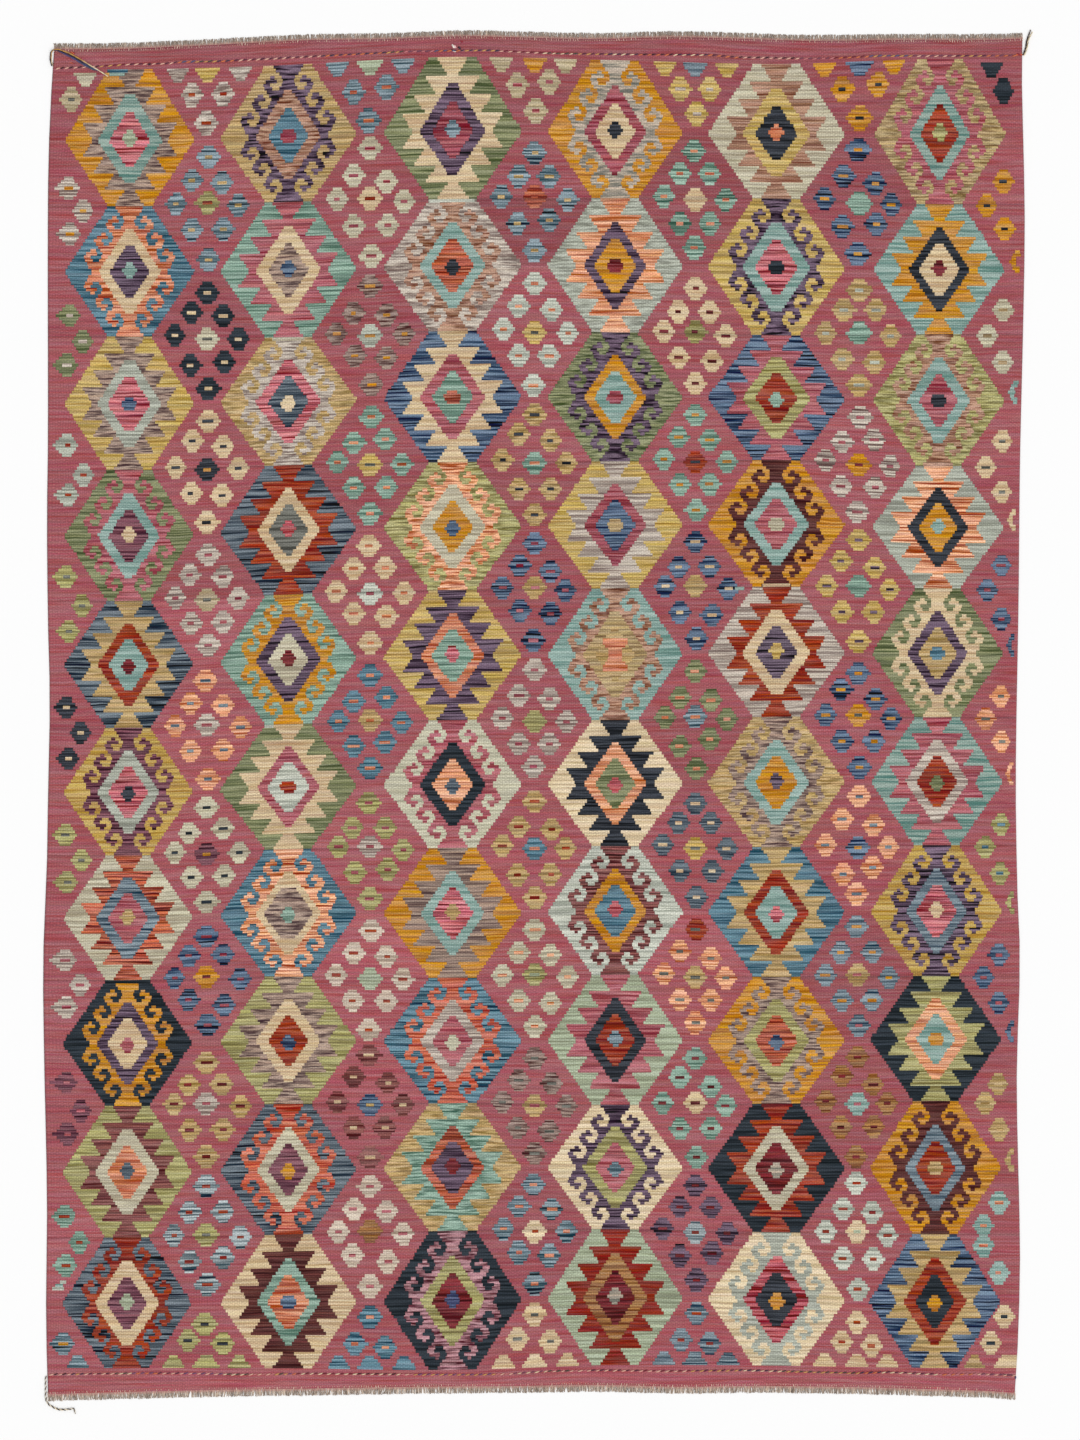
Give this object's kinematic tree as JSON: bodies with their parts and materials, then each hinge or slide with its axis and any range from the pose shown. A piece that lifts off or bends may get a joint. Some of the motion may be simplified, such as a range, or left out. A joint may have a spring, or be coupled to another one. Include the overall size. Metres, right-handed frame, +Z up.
{
  "type": "kilim rug",
  "caption": "Flat-woven rug with rows of stepped hexagonal medallions on a rose ground and a short cut fringe at both ends; it lies flat on a floor.",
  "frame": {"origin": "middle of the rug's underside, on the floor that it lies on", "axes": "+Z up through the rug, +Y along the warp towards the end at the picture's top, +X along the weft to the picture's right"},
  "size_m": [2.103, 2.9443, 0.0082],
  "materials": {
    "cloth": "slit-woven wool with a fine rib, matt",
    "fringe": "undyed twisted warp ends, matt",
    "dark_blue_yarn": "two-ply wool yarn, matt",
    "brown_yarn": "two-ply wool yarn, matt"
  },
  "bodies": {
    "root": {"kilim": "cloth", "fringe_top": "fringe", "fringe_bottom": "fringe", "yarn_end_top_left": "dark_blue_yarn", "yarn_end_top_right": "brown_yarn", "yarn_end_bottom_left": "brown_yarn"}
  },
  "joints": []
}
